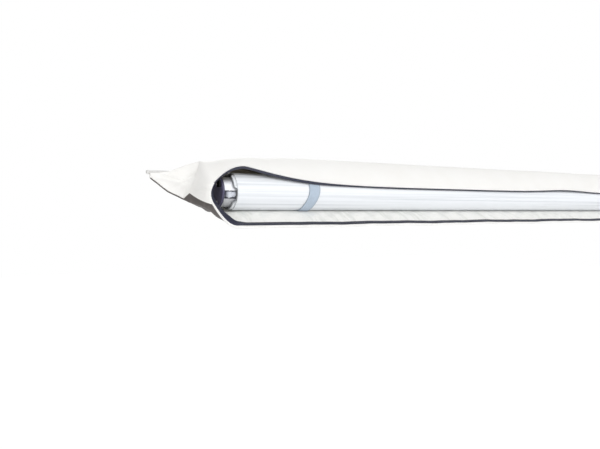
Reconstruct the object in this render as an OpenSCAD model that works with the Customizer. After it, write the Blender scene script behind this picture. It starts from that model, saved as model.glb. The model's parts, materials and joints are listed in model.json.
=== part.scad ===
// Roll-out bag awning for a vehicle wall.
// X runs along the rail, +Y points to the wall, +Z up. The origin is the keder's centre at mid-length.

/* [Canopy and roll] */
// Width of the canopy cloth
canopy_w = 2000; // [1600:50:2800]
// Thickness of all the cloth wound on the tube
winding_t = 7; // [5:0.5:12]
// Thickness of one wound layer of cloth
cloth_t = 0.8; // [0.4:0.1:1.2]
// Space between the roll's back and the keder's centre line
wall_gap = 6; // [6:0.5:14]

/* [Roller tube] */
// Outer radius of the roller tube
tube_r = 33; // [30:0.5:38]
// Wall of the roller tube and of its slots
tube_wall = 1.8; // [1.4:0.1:2.2]
// How far the tube stands out of the cloth at each end
tube_overhang = 26; // [24:1:40]
// Hinge pins inboard of the tube's ends
pin_inset = 14; // [13:1:20]
// Radius of the hinge pins
pin_r = 3; // [2:0.25:4]
// Direction in which the legs leave the tube, from +Y towards +Z
leg_dir = 91; // [86:1:96]
// Direction in which the rafters leave the tube, from +Y towards +Z
rafter_dir = 193; // [189:1:199]
// Radius of the canopy's front cord
rope_r = 2.4; // [1.5:0.1:2.8]
// Thickness of an end cap's plate
cap_t = 4; // [3:0.5:8]
// Radius of a cap screw's shank
screw_r = 1.6; // [1.2:0.1:2]

/* [Legs and rafters] */
// Outer radius of a leg
leg_r = 10.5; // [9:0.25:10.5]
// Outer radius of a rafter
rafter_r = 8; // [7:0.25:8.5]
// Depth of a stowed leg or rafter below the tube's surface
arm_recess = 2.5; // [2:0.25:3]
// Wall of the telescoping tubes
arm_wall = 1.3; // [1:0.1:1.6]
// Length of a clamp collar
collar_len = 28; // [20:1:40]
// Length of a foot or shoe
foot_len = 26; // [20:1:40]
// Length of a head's plug in its tube
plug_len = 34; // [20:1:50]
// Space between the two arms that share a slot
arm_gap = 30; // [10:2:80]

/* [Bag] */
// Thickness of the bag's cloth
bag_t = 1.2; // [0.8:0.1:1.4]
// Radius of the keder piping
keder_r = 3.75; // [3:0.25:4.5]
// Wall of the keder's sleeve
keder_wall = 1; // [0.6:0.1:1.4]
// How far the keder reaches past the canopy at each end
keder_reach = 168; // [140:2:220]
// Where the closed bag end starts, past the canopy's edge
sleeve_start = 54; // [44:1:66]
// Pull of the flap's curve above the keder, which sets its crest line
crest_pull = 66; // [55:1:72]
// Loss of that pull at the closed bag ends
crest_dip = 28; // [10:1:34]
// Length inside the canopy's edge over which the crest starts to fall
dip_inset = 100; // [40:5:160]
// Height of the flap's front edge above the roll's axis
flap_edge = 17; // [12:1:24]
// Further height of that edge where it is lifted near the ends
hump_rise = 38; // [20:1:45]
// Length over which the lift dies away
hump_decay = 125; // [75:5:175]
// How far the lip reaches in front of the roll
lip_out = 32; // [26:1:44]
// How far the lip hangs below the roll
lip_hang = 36.5; // [28:0.5:44]
// Length at each end over which the lip rises to the closed bag end
lip_rise_len = 44; // [30:1:60]

/* [Straps and zip] */
// Width of a strap
strap_w = 28; // [20:1:50]
// Thickness of a strap
strap_t = 0.8; // [0.5:0.1:1]
// Strap's middle in from the canopy's edge
strap_inset = 190; // [120:10:400]
// Width of a zip tape
tape_w = 9; // [8:0.5:12]
// Thickness of a zip tape
tape_t = 0.6; // [0.4:0.1:0.8]
// Width of the hem beyond a zip tape
hem_w = 5; // [3:0.5:8]
// Width of the zip's chain
chain_w = 4; // [3:0.25:5]
// Height of the zip's chain
chain_h = 2; // [1.5:0.25:3]
// Length of the zip slider
slider_len = 16; // [12:1:24]
// Length of the zip pull
pull_len = 30; // [20:1:45]

/* [Hidden] */
$fn = 64;

// Clearances
run_fit = 0.08;
cloth_gap = 0.4;
slot_gap = 1;
past = 1;

// Colours
bag_white = [0.93, 0.93, 0.92];
tape_navy = [0.16, 0.17, 0.24];
cloth_white = [0.95, 0.96, 0.97];
cap_navy = [0.16, 0.15, 0.26];
alu = [0.78, 0.79, 0.8];

// Places along the rail
half_canopy = canopy_w / 2;
tube_end = half_canopy + tube_overhang;
pin_x = tube_end - pin_inset;
sleeve_x = half_canopy + sleeve_start;
keder_end = half_canopy + keder_reach;
strap_x = half_canopy - strap_inset;

// Bag section, as [y, z] in front of and below the keder; the roll's top is level with the keder
roll_r = tube_r + winding_t;
roll_drop = roll_r;
roll_stand = roll_r + wall_gap;
axis_yz = [-roll_stand, -roll_drop];
panel_y = -keder_r / 2;
strap_in = roll_r + cloth_t + 2 * cloth_gap - 0.1;
floor_z = -roll_drop - strap_in - strap_t - cloth_gap;
root_yz = (keder_r + cloth_gap) * [-sin(20), cos(20)];
lip_yz = axis_yz - [roll_r + lip_out, roll_r + lip_hang];
knee_yz = [axis_yz[0] - roll_r * 0.75, floor_z];

function lerp(a, b, t) = a + (b - a) * t;
function smooth(t) = let (c = min(1, max(0, t))) c * c * (3 - 2 * c);
function unit(v) = v / norm(v);
function bezier(p, t) =
    p[0] * pow(1 - t, 3) + p[1] * 3 * t * pow(1 - t, 2) + p[2] * 3 * t * t * (1 - t) + p[3] * pow(t, 3);
function side_normal(path, j) =
    let (d = unit(path[min(j + 1, len(path) - 1)] - path[max(j - 1, 0)])) [-d[1], d[0]];
function shift(path, by) = [for (j = [0:len(path) - 1]) path[j] + side_normal(path, j) * by];
function at_x(x, path) = [for (p = path) [x, p[0], p[1]]];
function both_ways(list) = concat([for (k = [len(list) - 1:-1:0]) -list[k]], list);

// Closed solid between two point grids of the same size
module slab(a, b) {
    ni = len(a);
    nj = len(a[0]);
    n = ni * nj;
    quads = concat(
        [for (i = [0:ni - 2], j = [0:nj - 2])
            [i * nj + j, i * nj + j + 1, (i + 1) * nj + j + 1, (i + 1) * nj + j]],
        [for (i = [0:ni - 2], j = [0:nj - 2])
            [n + i * nj + j, n + (i + 1) * nj + j, n + (i + 1) * nj + j + 1, n + i * nj + j + 1]],
        [for (i = [0:ni - 2])
            [i * nj, (i + 1) * nj, n + (i + 1) * nj, n + i * nj]],
        [for (i = [0:ni - 2])
            [(i + 2) * nj - 1, (i + 1) * nj - 1, n + (i + 1) * nj - 1, n + (i + 2) * nj - 1]],
        [for (j = [0:nj - 2])
            [j + 1, j, n + j, n + j + 1]],
        [for (j = [0:nj - 2])
            [n - nj + j, n - nj + j + 1, 2 * n - nj + j + 1, 2 * n - nj + j]]
    );
    triangles = [for (q = quads) each [[q[0], q[1], q[2]], [q[0], q[2], q[3]]]];
    polyhedron([for (row = concat(a, b)) each row], triangles);
}

// Extrudes a [y, z] outline along the rail, centred on x
module along_rail(length, x = 0) {
    translate([x, 0, 0])
        rotate([90, 0, 90])
            linear_extrude(length, center = true)
                children();
}

// Band of a given thickness along an open [y, z] path
module band(path, thickness) {
    back = shift(path, thickness);
    polygon(concat(path, [for (j = [len(back) - 1:-1:0]) back[j]]));
}

// Puts children in the roll's frame: local Y leaves the axis in the given direction
module on_roll(direction) {
    translate([0, axis_yz[0], axis_yz[1]])
        rotate([direction, 0, 0])
            children();
}

// Mirrors children to the left (-1) or right (1) end
module at_end(side) {
    mirror([side < 0 ? 1 : 0, 0, 0])
        children();
}

// Bag

module rail_keder() color(bag_white) difference() {
    union() {
        rotate([0, 90, 0])
            cylinder(h = 2 * keder_end, r = keder_r, center = true);
        translate([-keder_end, panel_y - bag_t, -keder_r - bag_t])
            cube([2 * keder_end, bag_t, keder_r + bag_t]);
    }
    rotate([0, 90, 0])
        cylinder(h = 2 * keder_end + past, r = keder_r - keder_wall, center = true);
}

module keder_core() color("gainsboro")
    rotate([0, 90, 0])
        cylinder(h = 2 * keder_end, r = keder_r - keder_wall - run_fit, center = true);

// Lower edge of a bag end: rises a little outside the roll, then runs back to the keder
end_rise = roll_r * 0.265;
function end_lift(t) = end_rise * smooth(2 * t - 1);
mouth_end = sleeve_x - lip_rise_len;
mouth_len = 2 * mouth_end;
function gusset_x(t) = lerp(mouth_end, sleeve_x, t);
tail_corner = 0.35;
tail_mid = 0.66;
tail_corner_z = floor_z * 0.68;
tail_mid_z = floor_z * 0.48;
tail_end = keder_end - 6;
tail_tip_z = -keder_r * 3.2;
function tail_x(t) = lerp(sleeve_x, tail_end, t);
function tail_low(t) =
    t < tail_corner ? lerp(floor_z + end_rise, tail_corner_z, t / tail_corner)
    : t < tail_mid ? lerp(tail_corner_z, tail_mid_z, (t - tail_corner) / (tail_mid - tail_corner))
    : lerp(tail_mid_z, tail_tip_z, (t - tail_mid) / (1 - tail_mid));

module back_panel() color(bag_white) {
    low = concat(
        [for (t = [0.5, 0.75]) [gusset_x(t), floor_z + end_lift(t)]],
        [for (t = [0, tail_corner, tail_mid, 1]) [tail_x(t), tail_low(t)]]
    );
    top_z = -keder_r - bag_t;
    outline = concat(
        [[tail_end, top_z], [-tail_end, top_z]],
        [for (k = [len(low) - 1:-1:0]) [-low[k][0], low[k][1]]],
        low
    );
    translate([0, panel_y, 0])
        rotate([90, 0, 0])
            linear_extrude(bag_t)
                polygon(outline);
}

// Upper face of the bottom panel; droop runs from 0 at a closed end to 1 along the mouth
shut_yz = axis_yz + [-roll_r * 0.72, -roll_r];
function floor_path(droop, low) =
    let (knee = lerp(shut_yz, knee_yz, droop), lip = lerp(shut_yz + roll_r * [-0.2, 0.3], lip_yz, droop))
    concat(
        [[panel_y - bag_t, low], [axis_yz[0], low]],
        [for (t = [0.4:0.2:1]) bezier([
            [axis_yz[0], low], [lerp(axis_yz[0], knee[0], 0.6), low],
            lerp(knee, lip, 0.3), lip], t)]
    );

module bottom_panel() color("gray")
    along_rail(mouth_len)
        band(floor_path(1, floor_z), bag_t);

// Gusset at each end of the bottom panel, where the lip rises to the closed bag end
gusset_steps = [for (t = [0:0.25:1]) t];
function gusset_path(t) = floor_path(1 - pow(t, 2.7), floor_z + end_lift(t));
module lip_gusset(side) color("gray")
    at_end(side)
        slab(
            [for (t = gusset_steps) at_x(gusset_x(t), shift(gusset_path(t), bag_t))],
            [for (t = gusset_steps) at_x(gusset_x(t), gusset_path(t))]
        );

// Straight frame on the lip: local X along the rail, local Y out along the lip, local Z off its face
lip_open = floor_path(1, floor_z);
lip_dir = unit(lip_open[len(lip_open) - 1] - lip_open[len(lip_open) - 2]);
lip_angle = atan2(lip_dir[1], lip_dir[0]);
module on_lip() {
    translate([0, lip_yz[0], lip_yz[1]])
        rotate([lip_angle, 0, 0])
            mirror([0, 0, 1])
                children();
}

module lip_hem() color(bag_white)
    on_lip() {
        translate([-mouth_len / 2, -hem_w, 0])
            cube([mouth_len, hem_w, bag_t]);
        translate([-mouth_len / 2, 0, -bag_t])
            cube([mouth_len, bag_t, 2 * bag_t]);
    }

module lower_zip_tape() color(tape_navy)
    on_lip()
        translate([-mouth_len / 2, -hem_w - tape_w, 0])
            cube([mouth_len, tape_w, tape_t]);

chain_y = -hem_w - tape_w / 2;
module lower_zip_chain() color("dimgray")
    on_lip()
        translate([-mouth_len / 2, chain_y - chain_w / 2, tape_t])
            cube([mouth_len, chain_w, chain_h]);

// Closed bag end: a shell that shrinks from the bag's full section to the keder
front_y = axis_yz[0] - roll_r * 0.93;
front_z = axis_yz[1] + flap_edge;
function sleeve_path(t) =
    let (low = tail_low(t),
        peak = lerp(crest_pull - crest_dip, 2.4 * keder_r, smooth(t * 1.5)),
        front = lerp(front_y, -2.4 * keder_r, smooth(t * 1.1)),
        nose = [front, lerp(front_z, 0, smooth(t * 1.1))],
        heel = [panel_y - bag_t - cloth_gap, low])
    concat(
        [for (s = [0:0.2:1]) bezier([root_yz, [root_yz[0] * 2, peak], [front * 0.55, peak * 0.8], nose], s)],
        [for (s = [0.25:0.25:1]) bezier([nose, [front * 1.04, nose[1] * 0.5 + low * 0.4],
            [front * 0.8, low], heel], s)]
    );
sleeve_steps = [for (t = [0:0.125:1]) t];
module end_sleeve(side) color(bag_white)
    at_end(side)
        slab(
            [for (t = sleeve_steps) at_x(tail_x(t), sleeve_path(t))],
            [for (t = sleeve_steps) at_x(tail_x(t), shift(sleeve_path(t), -bag_t))]
        );

// Sewn strip that holds the canopy's rear edge
seam_h = 8;
seam_y = panel_y - 3 * bag_t;
seam_z = -keder_r - 3 * bag_t - seam_h / 2;
module canopy_seam_strip() color(bag_white)
    translate([-half_canopy, seam_y, seam_z - seam_h / 2])
        cube([canopy_w, 2 * bag_t, seam_h]);

// Where the cloth leaves the roll towards the seam
web_r = roll_r + cloth_gap;
seam_yz = [seam_y - cloth_gap, seam_z];
to_seam = seam_yz - axis_yz;
web_dir = atan2(to_seam[1], to_seam[0]) + acos(web_r / norm(to_seam));
leave_yz = axis_yz + web_r * [cos(web_dir), sin(web_dir)];

module canopy_web() color(cloth_white)
    along_rail(canopy_w)
        band([leave_yz, seam_yz], cloth_t);

// Strap: from above the seam over the roll, down its front and under it to the back panel
strap_end_yz = [panel_y - bag_t - cloth_gap, -roll_drop - roll_r * 0.55];
strap_last = 318;
strap_path = concat(
    [[seam_y - cloth_gap, seam_z + seam_h * 0.6]],
    [for (a = [web_dir + 4 : 9 : strap_last]) axis_yz + strap_in * [cos(a), sin(a)]],
    [strap_end_yz]
);
module strap(side) color([0.72, 0.78, 0.85])
    along_rail(strap_w, side * strap_x)
        band(strap_path, -strap_t);

// Flap

hump_inset = 22;
hump_x = half_canopy - hump_inset;
hump_fall = sleeve_x - hump_x;
hump_power = 1.25;
function lift_at(x) = let (d = hump_x - abs(x))
    d > 0 ? hump_rise * exp(-pow(d / hump_decay, hump_power)) : hump_rise * (1 - pow(-d / hump_fall, 1.9));
function crest_at(x) =
    crest_pull - crest_dip * smooth((abs(x) - half_canopy + dip_inset) / (sleeve_start + dip_inset));
function flap_path(x) =
    let (up = lift_at(x), crest = crest_at(x) - up * 0.38)
    [for (s = [0:0.1:1]) bezier([
        root_yz,
        [root_yz[0] * 2, crest],
        [-roll_stand, crest * 0.72 + up * 0.35],
        axis_yz + [-roll_r + up * 0.4, flap_edge + up]], s)];
flap_x = both_ways([
    0, half_canopy * 0.3, half_canopy * 0.6, half_canopy - 260, half_canopy - 170, half_canopy - 110,
    half_canopy - 70, hump_x, half_canopy, half_canopy + sleeve_start / 2, sleeve_x - cloth_gap]);
flap_stations = [for (k = [0:len(flap_x) - 1]) if (k == 0 || flap_x[k] > flap_x[k - 1]) flap_x[k]];
function flap_rim(x) = let (p = flap_path(x)) [p[len(p) - 2], p[len(p) - 1]];
function rim_strip(x, from, wide) =
    let (p = flap_rim(x), d = unit(p[1] - p[0])) [p[1] + d * from, p[1] + d * (from + wide)];

module top_flap() color(bag_white)
    slab(
        [for (x = flap_stations) at_x(x, flap_path(x))],
        [for (x = flap_stations) at_x(x, shift(flap_path(x), -bag_t))]
    );

module upper_zip_tape() color(tape_navy)
    slab(
        [for (x = flap_stations) at_x(x, rim_strip(x, 0, tape_w))],
        [for (x = flap_stations) at_x(x, shift(rim_strip(x, 0, tape_w), -tape_t))]
    );

// The hem lies on the flap's outer face, which bends a little away from the rim's line
hem_lift = bag_t + 0.4;
module flap_hem() color(bag_white)
    slab(
        [for (x = flap_stations) at_x(x, shift(rim_strip(x, -hem_w, hem_w), -hem_lift))],
        [for (x = flap_stations) at_x(x, shift(rim_strip(x, -hem_w, hem_w), -hem_lift - tape_t))]
    );

// Zip slider and its pull, parked at the right end of the mouth

slider_x = half_canopy - slider_len;
slider_wall = 1.5;
slider_gap = 0.4;
slider_top = tape_t + chain_h + slider_gap + slider_wall;
lug_r = 2.2;
lug_w = 3;
pivot_z = slider_top + lug_r;
pull_w = 8;
pull_t = 2;
pull_heel = 1.3;
pivot_r = 0.9;

module zip_slider() color("silver")
    on_lip()
        translate([slider_x, chain_y, 0])
            difference() {
                union() {
                    translate([-slider_len / 2, -chain_w / 2 - slider_gap - slider_wall, tape_t + slider_gap])
                        cube([
                            slider_len, chain_w + 2 * (slider_gap + slider_wall),
                            slider_top - tape_t - slider_gap]);
                    translate([0, 0, pivot_z])
                        rotate([0, 90, 0])
                            cylinder(h = lug_w, r = lug_r, center = true);
                    translate([-lug_w / 2, -lug_r, slider_top - slider_wall / 2])
                        cube([lug_w, 2 * lug_r, lug_r + slider_wall / 2]);
                }
                translate([-slider_len, -chain_w / 2 - slider_gap, 0])
                    cube([2 * slider_len, chain_w + 2 * slider_gap, slider_top - slider_wall]);
                translate([0, 0, pivot_z])
                    rotate([0, 90, 0])
                        cylinder(h = lug_w + past, r = pivot_r + run_fit, center = true);
            }

module zip_pull() color("silver")
    on_lip()
        translate([slider_x, chain_y, pivot_z])
            union() {
                rotate([0, 90, 0])
                    cylinder(h = pull_w, r = pivot_r, center = true);
                difference() {
                    translate([-pull_w / 2, -pull_heel, -pull_t / 2])
                        cube([pull_w, pull_len, pull_t]);
                    translate([-lug_w / 2 - slider_gap, -lug_r - past, -pull_t])
                        cube([lug_w + 2 * slider_gap, 2 * lug_r + past + slider_gap, 2 * pull_t]);
                    translate([0, pull_len - pull_heel - pull_w / 2, 0])
                        cylinder(h = 2 * pull_t, r = pull_w / 4, center = true);
                }
            }

// Roll

// Outer turn of the cloth: its radius falls by one layer over a full turn
function turn_r(a) = roll_r - cloth_t * a / 360;
module canopy_roll() color(cloth_white)
    along_rail(canopy_w)
        translate(axis_yz)
            difference() {
                polygon([for (a = [0:5:360]) turn_r(a) * [cos(a + web_dir), sin(a + web_dir)]]);
                circle(tube_r + run_fit);
            }

leg_u = tube_r - arm_recess - leg_r;
rafter_u = tube_r - arm_recess - rafter_r;
leg_slot = leg_r + slot_gap;
rafter_slot = rafter_r + slot_gap;
rope_dir = (leg_dir + rafter_dir) / 2 + 180;
rope_wall = tube_wall;
rope_bore = rope_r + run_fit;
rope_u = tube_r - rope_bore - rope_wall;
port_dirs = [leg_dir - 90, rafter_dir + 88];
port_r = screw_r + tube_wall;
port_u = tube_r - port_r - 0.2;

module slot_outline(u, half, wall) {
    translate([u - half - wall, -half - wall])
        square([tube_r + half, 2 * (half + wall)]);
}
module tube_outline() {
    difference() {
        union() {
            difference() {
                circle(tube_r);
                circle(tube_r - tube_wall);
            }
            intersection() {
                circle(tube_r - tube_wall / 2);
                union() {
                    rotate(leg_dir)
                        slot_outline(leg_u, leg_slot, tube_wall);
                    rotate(rafter_dir)
                        slot_outline(rafter_u, rafter_slot, tube_wall);
                    rotate(rope_dir)
                        translate([rope_u, 0])
                            circle(rope_bore + rope_wall);
                    for (d = port_dirs)
                        rotate(d)
                            translate([port_u, 0])
                                circle(port_r);
                }
            }
        }
        rotate(leg_dir)
            slot_outline(leg_u, leg_slot, 0);
        rotate(rafter_dir)
            slot_outline(rafter_u, rafter_slot, 0);
        rotate(rope_dir) {
            translate([rope_u, 0])
                circle(rope_bore);
            translate([rope_u, -rope_r / 2])
                square([tube_r, rope_r]);
        }
        for (d = port_dirs)
            rotate(d)
                translate([port_u, 0])
                    circle(screw_r + run_fit);
    }
}

module hinge_pin(direction, u, half, grow = 0) {
    for (side = [-1, 1])
        at_end(side)
            on_roll(direction)
                translate([pin_x, u, 0])
                    cylinder(h = 2 * half, r = pin_r + grow, center = true);
}

module roller_tube() color(alu)
    difference() {
        along_rail(2 * tube_end)
            translate(axis_yz)
                tube_outline();
        hinge_pin(leg_dir, leg_u, leg_slot + tube_wall + past, run_fit);
        hinge_pin(rafter_dir, rafter_u, rafter_slot + tube_wall + past, run_fit);
    }

module leg_pins() color("silver")
    hinge_pin(leg_dir, leg_u, leg_slot + tube_wall);

module rafter_pins() color("silver")
    hinge_pin(rafter_dir, rafter_u, rafter_slot + tube_wall);

module canopy_bolt_rope() color(cloth_white)
    on_roll(rope_dir)
        translate([0, rope_u, 0])
            rotate([0, 90, 0])
                cylinder(h = 2 * tube_end, r = rope_r, center = true);

// End cap with a spigot in the tube's closed chamber and a square socket for a stay bar
cap_r = tube_r - 1;
spigot_r = 8;
spigot_u = 9;
spigot_len = 16;
socket_dir = leg_dir + 35;
socket_u = cap_r * 0.63;
socket_w = cap_r * 0.5;
socket_h = cap_r * 0.455;
socket_wall = 1.6;
socket_depth = 2;
socket_stand = 2.4;
module end_cap(side) color(cap_navy)
    at_end(side)
        difference() {
            union() {
                translate([tube_end, axis_yz[0], axis_yz[1]])
                    rotate([0, 90, 0])
                        cylinder(h = cap_t, r = cap_r);
                on_roll(rope_dir)
                    translate([tube_end - spigot_len, spigot_u, 0])
                        rotate([0, 90, 0])
                            cylinder(h = spigot_len + cap_t, r = spigot_r);
            }
            on_roll(socket_dir)
                translate([tube_end + cap_t - socket_depth, socket_u, 0])
                    rotate([-socket_dir, 0, 0])
                        translate([0, -socket_w / 2 - run_fit, -socket_h / 2 - run_fit])
                            cube([cap_t, socket_w + 2 * run_fit, socket_h + 2 * run_fit]);
            for (d = port_dirs)
                on_roll(d)
                    translate([tube_end - past, port_u, 0])
                        rotate([0, 90, 0])
                            cylinder(h = cap_t + 2 * past, r = screw_r + run_fit);
        }

module end_socket(side) color("black")
    at_end(side)
        on_roll(socket_dir)
            translate([tube_end + cap_t - socket_depth, socket_u, 0])
                rotate([-socket_dir, 0, 0])
                    difference() {
                        translate([0, -socket_w / 2, -socket_h / 2])
                            cube([socket_depth + socket_stand, socket_w, socket_h]);
                        translate([1, socket_wall - socket_w / 2, socket_wall - socket_h / 2])
                            cube([cap_t, socket_w - 2 * socket_wall, socket_h - 2 * socket_wall]);
                    }

screw_len = 14;
screw_head = 1.8;
module cap_screws() color("silver")
    for (side = [-1, 1], d = port_dirs)
        at_end(side)
            on_roll(d)
                translate([tube_end + cap_t, port_u, 0])
                    rotate([0, 90, 0]) {
                        translate([0, 0, -screw_len])
                            cylinder(h = screw_len, r = screw_r);
                        cylinder(h = screw_head, r1 = 2 * screw_r, r2 = 1.5 * screw_r);
                    }

// Legs and rafters: each lies in its slot, measured inboard from its hinge pin

arm_len = pin_x - arm_gap / 2;
tube_from = max(leg_r, rafter_r) + 1;
tube_to = arm_len - collar_len - foot_len - 2;
inner_from = tube_from + plug_len + 5;
foot_from = arm_len - foot_len;
foot_floor = 8;

// Right-hand arm frame: local X runs inboard from the pin, local Z is the pin's axis
module on_arm(side, direction, u) {
    at_end(side)
        on_roll(direction)
            translate([pin_x, u, 0])
                mirror([1, 0, 0])
                    children();
}
module rod(from, to, r) {
    translate([from, 0, 0])
        rotate([0, 90, 0])
            cylinder(h = to - from, r = r);
}

module arm_head(r) {
    plug_r = r - arm_wall - run_fit;
    difference() {
        union() {
            cylinder(h = 1.5 * r, r = r - run_fit, center = true);
            intersection() {
                rod(0, tube_from, r - run_fit);
                translate([0, -r, -0.75 * r])
                    cube([tube_from, 2 * r, 1.5 * r]);
            }
            rod(tube_from - past, tube_from + plug_len, plug_r);
        }
        cylinder(h = 2 * r, r = pin_r + run_fit, center = true);
    }
}
module arm_tube(r) {
    difference() {
        rod(tube_from, tube_to, r);
        rod(tube_from - past, tube_to + past, r - arm_wall);
    }
}
module arm_collar(r) {
    difference() {
        union() {
            rod(tube_to, tube_to + collar_len, r + slot_gap / 2);
            rod(tube_to - collar_len / 2, tube_to, r + slot_gap / 2);
        }
        rod(tube_to - collar_len, tube_to, r + run_fit / 2);
        rod(tube_to - past, tube_to + collar_len + past, r - arm_wall);
    }
}
module arm_inner(r) {
    inner_r = r - arm_wall - run_fit;
    difference() {
        rod(inner_from, arm_len - foot_floor, inner_r);
        rod(inner_from - past, arm_len, inner_r - arm_wall);
    }
}
module arm_foot(r) {
    difference() {
        union() {
            rod(foot_from, arm_len - r / 2, r);
            rod(arm_len - r / 2, arm_len, r * 0.8);
        }
        rod(foot_from - past, arm_len - foot_floor, r - arm_wall - run_fit / 2);
    }
}

module leg_head(side) color(cap_navy)
    on_arm(side, leg_dir, leg_u)
        arm_head(leg_r);
module leg_tube(side) color(alu)
    on_arm(side, leg_dir, leg_u)
        arm_tube(leg_r);
module leg_collar(side) color("dimgray")
    on_arm(side, leg_dir, leg_u)
        arm_collar(leg_r);
module leg_inner(side) color(alu)
    on_arm(side, leg_dir, leg_u)
        arm_inner(leg_r);
module leg_foot(side) color("dimgray")
    on_arm(side, leg_dir, leg_u)
        arm_foot(leg_r);

module rafter_head(side) color(cap_navy)
    on_arm(side, rafter_dir, rafter_u)
        arm_head(rafter_r);
module rafter_tube(side) color(alu)
    on_arm(side, rafter_dir, rafter_u)
        arm_tube(rafter_r);
module rafter_collar(side) color("dimgray")
    on_arm(side, rafter_dir, rafter_u)
        arm_collar(rafter_r);
module rafter_inner(side) color(alu)
    on_arm(side, rafter_dir, rafter_u)
        arm_inner(rafter_r);
module rafter_shoe(side) color("dimgray")
    on_arm(side, rafter_dir, rafter_u)
        arm_foot(rafter_r);

rail_keder();
keder_core();
back_panel();
bottom_panel();
lip_gusset(-1);  // lip_gusset_left
lip_gusset(1);  // lip_gusset_right
lip_hem();
lower_zip_tape();
lower_zip_chain();
end_sleeve(-1);  // end_sleeve_left
end_sleeve(1);  // end_sleeve_right
canopy_seam_strip();
strap(-1);  // strap_left
strap(1);  // strap_right
top_flap();
flap_hem();
upper_zip_tape();
zip_slider();
zip_pull();
canopy_web();
canopy_roll();
canopy_bolt_rope();
roller_tube();
end_cap(-1);  // end_cap_left
end_cap(1);  // end_cap_right
end_socket(-1);  // end_socket_left
end_socket(1);  // end_socket_right
cap_screws();
leg_pins();
rafter_pins();
leg_head(-1);  // leg_head_left
leg_tube(-1);  // leg_tube_left
leg_collar(-1);  // leg_collar_left
leg_inner(-1);  // leg_inner_left
leg_foot(-1);  // leg_foot_left
leg_head(1);  // leg_head_right
leg_tube(1);  // leg_tube_right
leg_collar(1);  // leg_collar_right
leg_inner(1);  // leg_inner_right
leg_foot(1);  // leg_foot_right
rafter_head(-1);  // rafter_head_left
rafter_tube(-1);  // rafter_tube_left
rafter_collar(-1);  // rafter_collar_left
rafter_inner(-1);  // rafter_inner_left
rafter_shoe(-1);  // rafter_shoe_left
rafter_head(1);  // rafter_head_right
rafter_tube(1);  // rafter_tube_right
rafter_collar(1);  // rafter_collar_right
rafter_inner(1);  // rafter_inner_right
rafter_shoe(1);  // rafter_shoe_right
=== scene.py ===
"""Dresses the roll-out bag awning: cloth bag, zip, straps, wound canopy and metal parts."""
import json
from itertools import accumulate
from math import atan2, cos, dist, exp, hypot, pi, radians, sin

import bpy
from bpy.props import FloatProperty, FloatVectorProperty, PointerProperty
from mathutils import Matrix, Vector, noise


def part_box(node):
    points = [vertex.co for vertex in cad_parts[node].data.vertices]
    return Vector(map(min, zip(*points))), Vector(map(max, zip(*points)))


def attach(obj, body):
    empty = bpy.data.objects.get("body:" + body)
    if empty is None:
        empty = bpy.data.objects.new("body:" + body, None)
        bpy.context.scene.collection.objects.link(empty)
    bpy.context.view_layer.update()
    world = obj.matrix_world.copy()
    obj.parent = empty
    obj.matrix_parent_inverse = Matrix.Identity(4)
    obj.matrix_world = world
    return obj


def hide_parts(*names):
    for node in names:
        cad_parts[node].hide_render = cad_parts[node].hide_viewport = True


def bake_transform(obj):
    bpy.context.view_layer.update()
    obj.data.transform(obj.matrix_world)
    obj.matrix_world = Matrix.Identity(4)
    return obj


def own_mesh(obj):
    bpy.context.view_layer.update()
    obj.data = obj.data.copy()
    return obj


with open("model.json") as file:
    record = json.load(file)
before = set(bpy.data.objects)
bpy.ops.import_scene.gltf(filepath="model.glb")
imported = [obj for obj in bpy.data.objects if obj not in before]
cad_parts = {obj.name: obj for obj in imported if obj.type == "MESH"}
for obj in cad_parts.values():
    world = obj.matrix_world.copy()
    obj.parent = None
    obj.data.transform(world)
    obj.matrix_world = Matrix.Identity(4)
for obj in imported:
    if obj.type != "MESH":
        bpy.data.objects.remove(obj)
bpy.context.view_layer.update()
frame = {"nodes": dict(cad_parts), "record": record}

bl_info = {
    "name": "Roll-out awning dress",
    "version": (1, 0, 0),
    "blender": (4, 5, 0),
    "location": "View3D > Sidebar > Awning",
    "description": "Cloth, zip, straps and finishes for the roll-out bag awning",
    "category": "Object",
}

CAP_LOW, CAP_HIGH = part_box("end_cap_left")
SLOT_OF = {part["node"]: part["material_slot"] for part in frame["record"]["subparts"]}
SIDES = ((-1, "left"), (1, "right"))
PLAIN = (1, 1, 1)


def length(name, default, description):
    return FloatProperty(name=name, description=description, default=default, unit="LENGTH", precision=4)


def colour(name, default, description):
    return FloatVectorProperty(name=name, description=description, default=default, subtype="COLOR",
                               size=3, min=0, max=1)


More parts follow.
